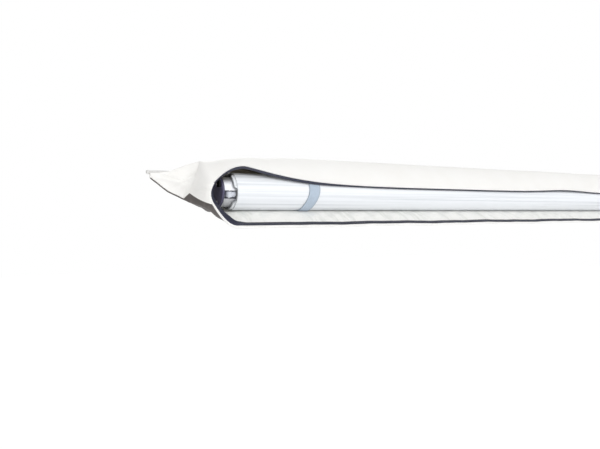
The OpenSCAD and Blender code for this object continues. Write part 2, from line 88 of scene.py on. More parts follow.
class AwningSizes(bpy.types.PropertyGroup):
    """Sizes of the cloth pieces, in metres"""
    axis_y: length("Roll axis Y", (CAP_LOW[1] + CAP_HIGH[1]) / 2, "Roll axis in front of the keder")
    axis_z: length("Roll axis Z", (CAP_LOW[2] + CAP_HIGH[2]) / 2, "Roll axis below the keder")
    half_canopy: length("Half canopy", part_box("canopy_roll")[1][0], "Half of the canopy's width")
    mouth_end: length("Mouth end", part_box("bottom_panel")[1][0], "End of the straight lip")
    sleeve_x: length("Closed end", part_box("lip_gusset_right")[1][0], "Where the closed bag end starts")
    tail_x: length("Tail end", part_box("back_panel")[1][0], "End of the bag's tail")
    keder_x: length("Keder end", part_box("rail_keder")[1][0], "End of the keder piping")
    roll_r: length("Roll radius", 0.040, "Outer radius of the wound canopy")
    tube_r: length("Tube radius", 0.033, "Outer radius of the roller tube")
    layer: length("Layer pitch", 0.0008, "Pitch of the wound layers")
    crest: length("Crest pull", 0.066, "Pull of the flap's curve above the keder")
    crest_dip: length("Crest dip", 0.028, "Loss of that pull at the closed ends")
    rim_up: length("Rim height", 0.017, "Flap's rim above the roll's axis")
    hump: length("Hump", 0.038, "Lift of the rim near the ends")
    rim_wave: length("Rim wave", 0.0065, "Lift of the rim near the middle")
    lip_out: length("Lip reach", 0.0704, "Lip in front of the roll's axis")
    lip_drop: length("Lip drop", 0.0753, "Lip below the roll's axis")
    lip_wave: length("Lip wave", 0.0006, "Soft waves along the lip's edge")
    ripple: length("Ripples", 0.0018, "Depth of the slack ripples in the bottom panel")
    cloth: length("Bag cloth", 0.0011, "Thickness of the bag's cloth")
    hem: length("Hem", 0.0034, "Width of the hems")
    tape: length("Flap tape", 0.008, "Visible width of the flap's zip tape")
    lip_tape: length("Lip tape", 0.0120, "Visible width of the lip's zip tape")
    strap: length("Strap", 0.028, "Width of a strap")
    strap_in: length("Strap inset", 0.19, "Strap's middle in from the canopy's edge")
    tooth: length("Tooth pitch", 0.0032, "Pitch of the zip's teeth")


class AwningColours(bpy.types.PropertyGroup):
    """Base colours of the finishes, linear"""
    bag: colour("Bag", (0.89, 0.885, 0.868), "Coated bag cloth, outside")
    # Near-black underside: painted shade for the unlit underside of the bag
    underside_shade: colour("Underside", (0.105, 0.092, 0.088), "Coated cloth under the bag")
    lip: colour("Lip", (0.88, 0.88, 0.85), "Coated inside of the bottom panel")
    # Dark brown lining: painted shade for the shadow under the flap and inside the closed ends
    lining_shade: colour("Lining", (0.44, 0.40, 0.33), "Uncoated inside of the flap and closed ends")
    tape: colour("Zip tape", (0.030, 0.033, 0.062), "Woven zip tape")
    teeth: colour("Zip teeth", (0.060, 0.063, 0.085), "Moulded zip teeth")
    canopy: colour("Canopy", (0.84, 0.865, 0.90), "Coated canopy cloth")
    strap: colour("Strap", (0.47, 0.555, 0.66), "Woven strap")
    aluminium: colour("Aluminium", (0.66, 0.67, 0.70), "Anodised tubes")
    cap: colour("End cap", (0.060, 0.056, 0.105), "Moulded caps and leg heads")
    # Pale rivets: painted highlights for the glints on the caps' screws
    rivet: colour("Rivet", (0.90, 0.87, 0.80), "Moulded rivets on the end caps")
    head: colour("Rafter head", (0.62, 0.65, 0.72), "Moulded rafter heads")
    socket: colour("Socket", (0.010, 0.010, 0.012), "Moulded stay-bar socket")
    steel: colour("Steel", (0.62, 0.62, 0.63), "Plated pins, screws and zip slider")
    collar: colour("Collar", (0.055, 0.055, 0.065), "Moulded clamp collars")
    rubber: colour("Rubber", (0.030, 0.030, 0.030), "Feet and shoes")
    # Keder core darkened: painted shade at the keder's open end
    cord: colour("Cord", (0.50, 0.49, 0.47), "Keder core")


def mix(a, b, t):
    return a + (b - a) * t


def mix_point(a, b, t):
    return tuple(mix(p, q, t) for p, q in zip(a, b))


def ease(t):
    t = min(1, max(0, t))
    return t * t * (3 - 2 * t)


def bump(t, width):
    return exp(-(t / width) ** 2)


def unit(v):
    return tuple(c / hypot(*v) for c in v)


def polar(centre, radius, degrees):
    """[y, z] at a distance from a centre; 0 degrees points to the wall and 90 up."""
    return centre[0] + radius * cos(radians(degrees)), centre[1] + radius * sin(radians(degrees))


def at(row, share):
    """The entry at a share of a row's length."""
    return row[round(share * (len(row) - 1))]


def runs(points):
    """Lengths along a line, from its start to each of its points."""
    return list(accumulate((dist(p, q) for p, q in zip(points, points[1:])), initial=0.0))


def bezier(points, t):
    k = ((1 - t) ** 3, 3 * t * (1 - t) ** 2, 3 * t * t * (1 - t), t ** 3)
    return tuple(sum(w * p[i] for w, p in zip(k, points)) for i in range(2))


def through(points, knots, t):
    """Smooth curve through points at the given knots."""
    last = len(knots) - 1
    i = max(n for n in range(last) if knots[n] <= t + 1e-9)
    slopes = []
    for n in (i, i + 1):
        a, b = max(n - 1, 0), min(n + 1, last)
        slopes.append([(q - p) / (knots[b] - knots[a]) for p, q in zip(points[a], points[b])])
    step = knots[i + 1] - knots[i]
    f = (t - knots[i]) / step
    k = (2 * f ** 3 - 3 * f * f + 1, f ** 3 - 2 * f * f + f, 3 * f * f - 2 * f ** 3, f ** 3 - f * f)
    return tuple(k[0] * p + k[1] * step * m + k[2] * q + k[3] * step * n
                 for p, m, q, n in zip(points[i], slopes[0], points[i + 1], slopes[1]))


class BagShape:
    """Curves of the bag, as functions of the distance a along the rail from mid-length."""
    root = (-0.00142, 0.0039)  # the flap's seam at the keder, [y, z]
    heel_y = -0.0033  # back edge of the bottom panel
    upper_rows, lower_rows = 30, 14  # rows of a closed end above and below the flap's rim
    ridge = 0.4  # share of the upper rows at the closed end's ridge
    stations = (0, 0.3, 0.4, 0.7, 1)  # guide curves along the closed end
    station_roots = (0, 0.10, 0.34, 0.66, 1)  # and their starts along the keder
    tail_low = (-0.056, -0.040, -0.012)  # heights of the tail's lower edge
    tail_mid = 0.071  # from the mouth's end to the middle of the tail
    hump_in, hump_decay, hump_power = 0.022, 0.125, 1.25  # the rim's lift towards mid-length
    leave_deg = 70.5  # where the canopy leaves the roll

    def __init__(self, sizes):
        self.s = sizes
        self.axis = (sizes.axis_y, sizes.axis_z)
        self.hump_a = sizes.half_canopy - self.hump_in
        self.floor_z = sizes.axis_z - 0.0427
        self.lip = (sizes.axis_y - sizes.lip_out, sizes.axis_z - sizes.lip_drop)
        self.chin = (sizes.axis_y - 0.0368, sizes.axis_z - 0.028)
        self.end_rise = 0.265 * sizes.roll_r
        self.apex = (sizes.sleeve_x + 0.030, -0.028, -0.044)
        self.corner = (sizes.sleeve_x + 0.036, -0.004, self.tail_low[0])
        out = [q - p for p, q in zip(self.floor_curve(1, 0.98), self.floor_curve(1, 1))]
        self.lip_dir = unit(out)

    def past_mouth(self, a):
        """Share of the way from the straight lip's end to the closed end."""
        return (a - self.s.mouth_end) / (self.s.sleeve_x - self.s.mouth_end)

    def lift(self, a):
        """Lift of the flap's rim: a hump near the roll's end, which dies away to both sides."""
        d = self.hump_a - a
        if d > 0:
            return self.s.hump * exp(-(d / self.hump_decay) ** self.hump_power)
        return self.s.hump * (1 - 1.03 * (min(1, -d / (self.s.sleeve_x - self.hump_a))) ** 1.9)

    def flap(self, x, s):
        """[y, z] on the flap's inner face: s runs from the keder to the rim."""
        a = abs(x)
        up = self.lift(a)
        wave = self.s.rim_wave * bump(x - 0.105, 0.13)
        dip = self.s.crest_dip * ease((a - self.s.half_canopy + 0.1) / 0.154)
        crest = self.s.crest - dip - 0.38 * up
        crest += 0.0070 * bump(a - 0.995, 0.038) - 0.0045 * bump(a - 0.905, 0.03)
        points = (
            self.root, (2 * self.root[0], crest), (self.axis[0], 0.72 * crest + 0.35 * up),
            (self.axis[0] - self.s.roll_r + 0.4 * up, self.axis[1] + self.s.rim_up + up + wave))
        y, z = bezier(points, s)
        slack = 0.0009 * sin(pi * s) * noise.noise(Vector((x * 5, s * 1.5, 3.7)))
        slack *= ease((self.s.sleeve_x - a) / 0.05)
        pull = 0.0016 * sin(pi * s) * bump(a - 0.93 - 0.09 * s, 0.025)
        return y - 0.6 * slack, z + slack - pull

    def rim(self, x):
        """Rim point of the flap and the direction that its cloth runs out in."""
        before, end = self.flap(x, 0.97), self.flap(x, 1)
        return end, unit((end[0] - before[0], end[1] - before[1]))

    def edge(self, f):
        """Upright end of the mouth, from the flap's rim down to the chin, as [a, y, z]."""
        top = self.flap(self.s.sleeve_x, 1)
        y, z = bezier((top, (top[0] - 0.003, mix(top[1], self.chin[1], 0.3)),
                       (self.chin[0] - 0.004, mix(top[1], self.chin[1], 0.7)), self.chin), f)
        return self.s.sleeve_x + 0.0085 * sin(pi * f), y, z

    def end_curve(self, station, v):
        """Guide curves of the closed end, from the mouth to the tail's tip, as [a, y, z]."""
        split = self.upper_rows / (self.upper_rows + self.lower_rows)
        start, tip = self.s.sleeve_x, self.s.tail_x
        if station == 0:
            if v <= split:
                return (start, *self.flap(start, min(1, v / split)))
            return self.edge((v - split) / (1 - split))
        root_a = mix(start, tip, self.station_roots[station])
        # Each guide's points: on the ridge, level with the flap's rim, and on the lower edge
        guides = {
            1: ((start + 0.005, -0.0192, 0.0242), (start + 0.018, -0.026, -0.012), self.apex),
            2: ((start + 0.030, -0.012, 0.0160), (start + 0.033, -0.017, -0.020), self.corner),
            3: ((start + 0.071, -0.0062, -0.0012), (start + 0.072, -0.009, -0.012),
                (start + self.tail_mid, -0.0042, self.tail_low[1])),
            4: ((tip, -0.0050, -0.0042), (tip, -0.0060, -0.007), (tip, -0.0042, self.tail_low[2])),
        }[station]
        root = {3: (-0.0041, 0.0008), 4: (-0.0036, -0.0026)}.get(station, self.root)
        return through(((root_a, *root), *guides), (0, self.ridge * split, split, 1), v)

    def closed_end(self, u, v):
        """[a, y, z] on the closed end: u runs to the tail's tip, v from the keder round the front."""
        i = min(3, max(n for n in range(4) if self.stations[n] <= u + 1e-9))
        f = (u - self.stations[i]) / (self.stations[i + 1] - self.stations[i])
        near, far = self.end_curve(i, v), self.end_curve(i + 1, v)
        a, y, z = mix_point(near, far, f)
        if i == 0:
            turn = min(1, abs(far[1] - near[1]) / 0.03)
            pull = (mix(near[0], far[0], 0.6) + 0.006 * turn, mix(near[1], far[1], 0.1),
                    mix(near[2], far[2], 0.25))
            a, y, z = mix_point(mix_point(near, pull, f), mix_point(pull, far, f), f)
            fold = bump(z + 0.037, 0.0035) - 0.6 * bump(z + 0.030, 0.005)
            y += 0.0085 * sin(pi * f) * fold
            y += 0.0022 * sin(pi * f) * noise.noise(Vector((a * 60, z * 40, 6.1)))
        else:
            inside = sin(pi * min(1, max(0, v))) * sin(pi * min(1, u))
            y += 0.0024 * inside * noise.noise(Vector((a * 30, z * 70, 1.3)))
            y += 0.0042 * inside * bump(z + 0.024 + (a - 1.10) * 0.7, 0.0045)
            y += 0.0034 * inside * bump(z + 0.008 - (a - 1.12) * 0.35, 0.0035)
            y -= 0.0044 * inside * bump(v - 0.72, 0.08)
        return a, y, z

    def droop(self, a):
        return 1 - min(1, max(0, self.past_mouth(a))) ** 2.7

    def low_at(self, a):
        """Height of the bag's lower back edge, which rises outside the roll and along the tail."""
        if a <= self.s.sleeve_x:
            return self.floor_z + self.end_rise * ease(2 * self.past_mouth(a) - 1)
        marks = (self.s.sleeve_x, self.corner[0], self.s.sleeve_x + self.tail_mid, self.s.tail_x)
        lows = (self.floor_z + self.end_rise, *self.tail_low)
        i = max(n for n in range(3) if marks[n] <= a)
        return mix(lows[i], lows[i + 1], (a - marks[i]) / (marks[i + 1] - marks[i]))

    def floor_curve(self, droop, s, low=None):
        """[y, z] on the bottom panel's inner face: s runs from the back to the lip."""
        low = self.floor_z if low is None else low
        start = (self.axis[0], low)
        shut = (self.axis[0] - 0.72 * self.s.roll_r, self.axis[1] - self.s.roll_r)
        knee = mix_point(shut, (self.axis[0] - 0.75 * self.s.roll_r, self.floor_z), droop)
        lip = mix_point(self.chin, self.lip, droop)
        if s < 0.3:
            return mix(self.heel_y, start[0], s / 0.3), low
        return bezier((start, (mix(start[0], knee[0], 0.6), low), mix_point(knee, lip, 0.3), lip),
                      (s - 0.3) / 0.7)

    def waves(self, x):
        """Soft waves of the lip, which die away towards its ends."""
        calm = ease((0.93 - abs(x)) / 0.1)
        swing = sin(x * 19 + 0.6) + 0.6 * sin(x * 47 + 2.1) + 0.25 * sin(x * 111)
        return calm * self.s.lip_wave * swing

    def floor(self, x, s):
        """[y, z] on the bottom panel's inner face, with its slack."""
        a = abs(x)
        if a <= self.s.sleeve_x:
            y, z = self.floor_curve(self.droop(a), s, self.low_at(a))
            slack = ease((s - 0.35) / 0.2) * ease((1 - s) / 0.25) * ease((1.0 - a) / 0.05)
            wave = sin((x * 0.5 + s * 0.075) * 210 + 2.2 * noise.noise(Vector((x * 4, s, 0))))
            patch = 0.5 + 0.5 * noise.noise(Vector((x * 3.2 + 9, s * 2, 5)))
            z += slack * self.s.ripple * wave * patch + self.waves(x) * ease((s - 0.5) / 0.5)
            z += 0.0021 * bump(s - 0.30, 0.14) * ease((1.0 - a) / 0.02)
            return y, z - self.belly(a, s)
        low = self.low_at(self.s.sleeve_x)
        flat = self.floor_curve(0, s, low)
        across = (flat[0] - self.heel_y) / (self.chin[0] - self.heel_y)
        rise = (flat[1] - low) / (self.chin[1] - low)
        near, far = (self.s.sleeve_x, *self.chin), self.apex
        if a >= self.apex[0]:
            near, far = self.apex, self.corner
        edge = mix_point(near, far, (a - near[0]) / (far[0] - near[0]))
        return mix(self.heel_y, edge[1], across), mix(self.low_at(a), edge[2], rise) - self.belly(a, s)

    def belly(self, a, s):
        """How far the panel's slack hangs down beside the ends of the mouth."""
        sag = 0.0100 * bump(self.past_mouth(a) - 0.74, 0.40)
        return sag * sin(pi * max(0, (s - 0.25) / 0.75))

    def mouth(self):
        """Mouth's lower edge from the left end to the right: points, inward directions, hem widths."""
        narrow, wider = 0.0008, 0.002
        left = []
        for n in range(11):
            a, y, z = self.edge(n / 10)
            left.append(((-a, y, z), (1, 0, 0), mix(narrow, wider, n / 10)))
        inward = (0, -self.lip_dir[0], -self.lip_dir[1])

        def turned(f):
            facing = mix_point((1, 0, 0), (0.60, 0.05, 0.70), ease(2 * f))
            return Vector(mix_point(facing, inward, ease((f - 0.3) / 1.3))).normalized()

        for n in range(1, 14):
            f = n / 14
            a = mix(self.s.sleeve_x, self.s.mouth_end, f)
            point = (-a, *self.floor_curve(self.droop(a), 1, self.low_at(a)))
            left.append((point, tuple(turned(f)), mix(wider, self.s.hem, f)))
        straight = []
        steps = 240
        for n in range(steps + 1):
            x = mix(-self.s.mouth_end, self.s.mouth_end, n / steps)
            y, z = self.floor(x, 1)
            way = turned(1 + (self.s.mouth_end - abs(x)) / (self.s.sleeve_x - self.s.mouth_end))
            straight.append(((x, y, z), (way[0] if x < 0 else -way[0], way[1], way[2]), self.s.hem))
        right = [((-p[0], p[1], p[2]), (-d[0], d[1], d[2]), w) for p, d, w in reversed(left)]
        return left + straight + right

    def winding(self, turn):
        """Point on the wound canopy, by turns from where it leaves the roll."""
        r = self.s.roll_r - self.s.layer * turn
        angle = radians(self.leave_deg) + 2 * pi * turn
        return self.axis[0] + r * cos(angle), self.axis[1] + r * sin(angle)

    def swell(self, y, z, k):
        """[y, z] moved from the roll's axis to k times its distance."""
        return self.axis[0] + (y - self.axis[0]) * k, self.axis[1] + (z - self.axis[1]) * k


def pick(*objects):
    """Leaves only these objects selected, the first one active."""
    bpy.ops.object.select_all(action="DESELECT")
    for thing in objects:
        thing.select_set(True)
    if objects:
        bpy.context.view_layer.objects.active = objects[0]


def edited(work, **settings):
    """Runs one edit on the whole mesh of the active object."""
    bpy.ops.object.mode_set(mode="EDIT")
    bpy.ops.mesh.select_all(action="SELECT")
    work(**settings)
    bpy.ops.object.mode_set(mode="OBJECT")


def modified(thing, kind, **settings):
    """Adds a modifier to the active object and applies it."""
    bpy.ops.object.modifier_add(type=kind)
    modifier = thing.modifiers[-1]
    for key, value in settings.items():
        setattr(modifier, key, value)
    bpy.ops.object.modifier_apply(modifier=modifier.name)


def laid_sheet(name, across, along, place, chart, flip=False):
    """Adds a grid and lays it on a surface: place gives the point and chart the cloth's own metres."""
    pick()
    bpy.ops.mesh.primitive_grid_add(x_subdivisions=across, y_subdivisions=along, size=1)
    sheet = bpy.context.object
    sheet.name = sheet.data.name = name
    where = [(v.co.x + 0.5, v.co.y + 0.5) for v in sheet.data.vertices]
    for v, (s, t) in zip(sheet.data.vertices, where):
        v.co = place(s, t)
    layer = sheet.data.uv_layers.active.data
    for loop in sheet.data.loops:
        layer[loop.index].uv = chart(*where[loop.vertex_index])
    if flip:
        edited(bpy.ops.mesh.flip_normals)
    return sheet


def sewn(*sheets, gap=2e-5):
    """Joins sheets that share an edge into the first one, and points closer than a gap into one."""
    pick(*sheets)
    if len(sheets) > 1:
        bpy.ops.object.join()
    edited(bpy.ops.mesh.remove_doubles, threshold=gap)


def cut_cloth(sheet, thick, outside, inside=None, offset=1.0, angle=40):
    """Gives a sheet its thickness and its outer and inner finish."""
    pick(sheet)
    sheet.data.materials.append(outside)
    sheet.data.materials.append(inside or outside)
    modified(sheet, "SOLIDIFY", thickness=thick, offset=offset, material_offset=1, material_offset_rim=1)
    bpy.ops.object.shade_smooth_by_angle(angle=radians(angle))


def ribbon(name, line, profile):
    """Sweeps a [inward, up] profile along a line of (point, inward direction, width)."""
    points = [Vector(p) for p, _, _ in line]
    inward = [Vector(d).normalized() for _, d, _ in line]
    ups = []
    for n, d in enumerate(inward):
        along = points[min(n + 1, len(points) - 1)] - points[max(n - 1, 0)]
        ups.append(along.cross(d).normalized())
    run, wide = runs(points), runs(profile(len(line) // 2))
    last = len(line) - 1

    def place(u, v):
        n = round(u * last)
        step = at(profile(n), v)
        return points[n] + inward[n] * step[0] + ups[n] * step[1]

    return laid_sheet(name, last, len(wide) - 1, place, lambda u, v: (at(run, u), at(wide, v)))


def node(kind, sockets, tree=None, **settings):
    """A new node, in the tree of the sockets that are linked to it unless a tree is given."""
    linked = {key: value for key, value in sockets.items() if isinstance(value, bpy.types.NodeSocket)}
    tree = tree or next(iter(linked.values())).id_data
    made = tree.nodes.new("ShaderNode" + kind)
    for key, value in settings.items():
        setattr(made, key, value)
    for key, value in sockets.items():
        if key in linked:
            tree.links.new(value, made.inputs[key])
        else:
            made.inputs[key].default_value = value
    return made


def finish(name, base, rough, metallic=0.0, sheen=0.0, specular=0.5):
    """A new material with its constant values on the shader; returns both."""
    material = bpy.data.materials.new(name)
    material.use_nodes = True
    material.diffuse_color = (*base, 1)
    shader = material.node_tree.nodes["Principled BSDF"]
    shader.inputs["Base Color"].default_value = (*base, 1)
    shader.inputs["Roughness"].default_value = rough
    shader.inputs["Metallic"].default_value = metallic
    shader.inputs["Sheen Weight"].default_value = sheen
    shader.inputs["Specular IOR Level"].default_value = specular
    return material, shader


def places(shader, kind, scale=PLAIN, turn=(0, 0, 0)):
    """Texture places from Object coordinates or the cloth's own metres."""
    where = node("TexCoord", {}, shader.id_data).outputs[kind]
    return node("Mapping", {"Vector": where, "Scale": scale, "Rotation": turn}).outputs["Vector"]


def clouds(where, scale, detail, rough=0.5):
    """Noise about 0.5."""
    sockets = {"Vector": where, "Scale": scale, "Detail": detail, "Roughness": rough}
    return node("TexNoise", sockets).outputs["Fac"]


def bands(where, scale, wander, direction):
    """Soft stripes, from 0 to 1."""
    sockets = {"Vector": where, "Scale": scale, "Distortion": wander}
    return node("TexWave", sockets, bands_direction=direction).outputs["Fac"]


def worked(kind, *values):
    """One step of arithmetic."""
    return node("Math", dict(enumerate(values)), operation=kind).outputs[0]


def between(value, low, high):
    """1 where low < value < high, else 0."""
    return worked("MULTIPLY", worked("GREATER_THAN", value, low),
                  worked("LESS_THAN", value, high))


def scaled(value, low, high):
    """Brings 0 to 1 between low and high."""
    return node("MapRange", {"Value": value, "To Min": low, "To Max": high}).outputs["Result"]


def shade(base, k, warm=PLAIN):
    return tuple(min(1, c * k * w) for c, w in zip(base, warm))


def tint(factor, low, high, start=0.3, end=0.7):
    """Colour ramp from low to high."""
    ramp = node("ValToRGB", {"Fac": factor})
    for stop, place, tone in zip(ramp.color_ramp.elements, (start, end), (low, high)):
        stop.position = place
        stop.color = (*tone, 1)
    return ramp.outputs["Color"]


def laid_over(share, under, over):
    """Colour under where share is 0, colour over where it is 1."""
    tones = [tone if isinstance(tone, bpy.types.NodeSocket) else (*tone, 1) for tone in (under, over)]
    return node("MixRGB", {"Fac": share, "Color1": tones[0], "Color2": tones[1]}).outputs["Color"]


def dress(shader, tone, heights, gloss=None):
    """Links the colour, a chain of (height, strength, distance) bumps and any roughness."""
    links = shader.id_data.links
    links.new(tone, shader.inputs["Base Color"])
    normal = None
    for height, strength, distance in heights:
        sockets = {"Height": height, "Strength": strength, "Distance": distance}
        if normal:
            sockets["Normal"] = normal
        normal = node("Bump", sockets).outputs["Normal"]
    links.new(normal, shader.inputs["Normal"])
    if gloss:
        links.new(gloss, shader.inputs["Roughness"])


def coated_cloth(name, base, rough, weave, mottle, warm=PLAIN, grain=0.10, soil=0.0):
    """Coated polyester: a fine basket weave under a satin coat, a little uneven in tone."""
    material, shader = finish(name, base, rough, sheen=0.05, specular=0.4)
    cloth = places(shader, "Object")
    patches = clouds(cloth, 14, 5, 0.6)
    tone = tint(patches, shade(base, mottle, warm), base)
    if soil:
        dust = tint(clouds(cloth, 70, 6), (0, 0, 0), (soil, soil, soil), 0.5, 0.75)
        tone = laid_over(dust, tone, shade(base, 1.9))
    basket = worked("MULTIPLY", *(bands(cloth, weave / (2 * pi), 0.6, way) for way in "XZ"))
    hand = clouds(cloth, 45, 3)
    dress(shader, tone, ((basket, grain, 0.0004), (hand, 0.10, 0.002)),
          scaled(patches, rough - 0.08, rough + 0.08))
    return material


def creased_cloth(name, base):
    """Coated cloth that was rolled up wet: slanting creases, with painted shade in grey streaks along
    them.
    """
    material, shader = finish(name, base, 0.5, sheen=0.05, specular=0.4)
    creases_and_shade = clouds(places(shader, "UV", (26, 5, 1), (0, 0, radians(62))), 1.6, 4, 0.6)
    sockets = {"Value": creases_and_shade, "From Min": 0.42, "From Max": 0.62}
    ridges = node("MapRange", sockets).outputs["Result"]
    # Darker in the creases' valleys: painted shade
    tone = tint(creases_and_shade, shade(base, 0.85, (0.985, 1, 0.985)), base, 0.33, 0.5)
    grain = clouds(places(shader, "UV"), 350, 2)
    dress(shader, tone, ((ridges, 0.35, 0.0025), (grain, 0.08, 0.0006)))
    return material


def stitched_hem(name, base, row=0.0034, stitch=0.0036, thread=0.0004):
    """Folded hem with one row of lockstitch, row metres from its edge."""
    material, shader = finish(name, base, 0.5, sheen=0.05, specular=0.4)
    chart = node("SeparateXYZ", {"Vector": places(shader, "UV")}).outputs
    pitch = worked("FRACT", worked("DIVIDE", chart["X"], stitch))
    seam = worked("MULTIPLY", between(chart["Y"], row - thread, row + thread),
                  between(pitch, 0.12, 0.88))
    cloth = places(shader, "Object")
    tone = tint(clouds(cloth, 30, 4), shade(base, 0.95), shade(base, 1.03))
    tone = laid_over(seam, tone, shade(base, 0.8))
    dress(shader, tone, ((seam, 0.5, 0.0004), (clouds(cloth, 120, 2), 0.15, 0.001)))
    return material


def woven(name, base, pitch, edge, fuzzy=1.0):
    """Ribbed webbing or tape: ribs across it, finer yarns along it, and darker selvedges."""
    material, shader = finish(name, base, 0.8, sheen=0.25, specular=0.25)
    chart = places(shader, "UV")
    yarn = worked("MULTIPLY", bands(chart, 0.5 / pitch, 0.4, "X"),
                  bands(chart, 0.9 / pitch, 0.8, "Y"))
    fuzz = clouds(places(shader, "Object"), 160, 5)
    tone = tint(fuzz, shade(base, 1 - 0.14 * fuzzy), shade(base, 1 + 0.10 * fuzzy))
    lit = tint(yarn, (0.0, 0.0, 0.0), (0.35, 0.35, 0.35), 0.2, 0.9)
    tone = laid_over(lit, tone, shade(base, 1.25))
    middle = between(node("SeparateXYZ", {"Vector": chart}).outputs["Y"], *edge)
    tone = laid_over(middle, shade(base, 0.72), tone)
    dress(shader, tone, ((yarn, 0.5, 0.0006), (fuzz, 0.15 * fuzzy, 0.0005)))
    return material


def wound_cloth(name, base):
    """Canopy cloth under winding tension: faint ripples run along the roll, and the darker lines along
    them are painted shade.
    """
    material, shader = finish(name, base, 0.42, sheen=0.04, specular=0.45)
    drawn = clouds(places(shader, "UV", (0.9, 150, 1)), 1, 3, 0.55)
    fine = clouds(places(shader, "UV", (2.5, 620, 1)), 1, 2)
    # Darker lines along the ripples: painted shade
    tone = tint(drawn, shade(base, 0.80, (0.99, 1, 1.01)), base, 0.34, 0.52)
    dress(shader, tone, ((drawn, 0.35, 0.0012), (fine, 0.25, 0.0004)),
          scaled(drawn, 0.5, 0.36))
    return material


def brushed_metal(name, base, rough, along=(6, 900, 900)):
    """Drawn or plated metal: fine lines along it and a soft uneven gloss."""
    material, shader = finish(name, base, rough, metallic=1.0)
    drawn = clouds(places(shader, "Object", along), 1, 4)
    cloud = clouds(places(shader, "Object"), 25, 3)
    dress(shader, tint(drawn, shade(base, 0.93), base), ((drawn, 0.06, 0.0003),),
          scaled(cloud, rough - 0.07, rough + 0.09))
    return material


def moulded(name, base, rough, grain, depth=0.12, specular=0.45, painted_light_from=None):
    """Moulded plastic or rubber: fine spark grain, a little dust, and painted light on end faces."""
    material, shader = finish(name, base, rough, specular=specular)
    body = places(shader, "Object")
    pits = node("TexVoronoi", {"Vector": body, "Scale": grain}).outputs["Distance"]
    dust = clouds(body, 60, 5)
    tone = tint(dust, shade(base, 0.9), shade(base, 1.25))
    # End faces lightened: painted light on the faces that the lamps leave dark
    if painted_light_from:
        x = node("SeparateXYZ", {"Vector": body}).outputs["X"]
        face = worked("GREATER_THAN", worked("ABSOLUTE", x), painted_light_from)
        tone = laid_over(face, tone, tint(dust, shade(base, 1.8), shade(base, 2.3)))
    dress(shader, tone, ((pits, depth, 0.0003),), scaled(dust, rough - 0.08, rough + 0.1))
    return material


def opened(context):
    """The bag's curves and its sizes."""
    sizes = context.scene.awning_sizes
    return BagShape(sizes), sizes


def cloth_of(kind):
    """The shared cloth finishes, each made once."""
    found = bpy.data.materials.get(kind)
    if found:
        return found
    c = bpy.context.scene.awning_colours
    makers = {
        "bag_cloth": lambda: coated_cloth(kind, c.bag, 0.48, 1500, 0.97, (1, 0.995, 0.985)),
        # Cloth under the bag: painted shade, with a little real dust
        "underside_shade_cloth": lambda: coated_cloth(kind, c.underside_shade, 0.6, 1100, 0.8, grain=0.3, soil=0.5),
        "lip_cloth": lambda: creased_cloth(kind, c.lip),
        "lining_shade_cloth": lambda: coated_cloth(kind, c.lining_shade, 0.7, 1100, 0.85, grain=0.3),
        "hem_cloth": lambda: stitched_hem(kind, shade(c.bag, 1.02)),
        # Bag cloth darkened: painted shade on the keder piping
        "piping_shade_cloth": lambda: stitched_hem(kind, shade(c.bag, 0.79)),
        "zip_tape_weave": lambda: woven(kind, c.tape, 0.0016, (0.0006, 0.0064)),
        "strap_weave": lambda: woven(kind, c.strap, 0.0022, (0.0014, 0.0266), fuzzy=0.3),
        "canopy_wound": lambda: wound_cloth(kind, c.canopy),
        # Canopy cloth at 0.4 of its tone: painted shade between the wound layers
        "canopy_edge_shade": lambda: coated_cloth(kind, shade(c.canopy, 0.4), 0.7, 1300, 0.85),
        "canopy_flat": lambda: coated_cloth(kind, c.canopy, 0.45, 1300, 0.98, (0.99, 1, 1)),
    }
    return makers[kind]()


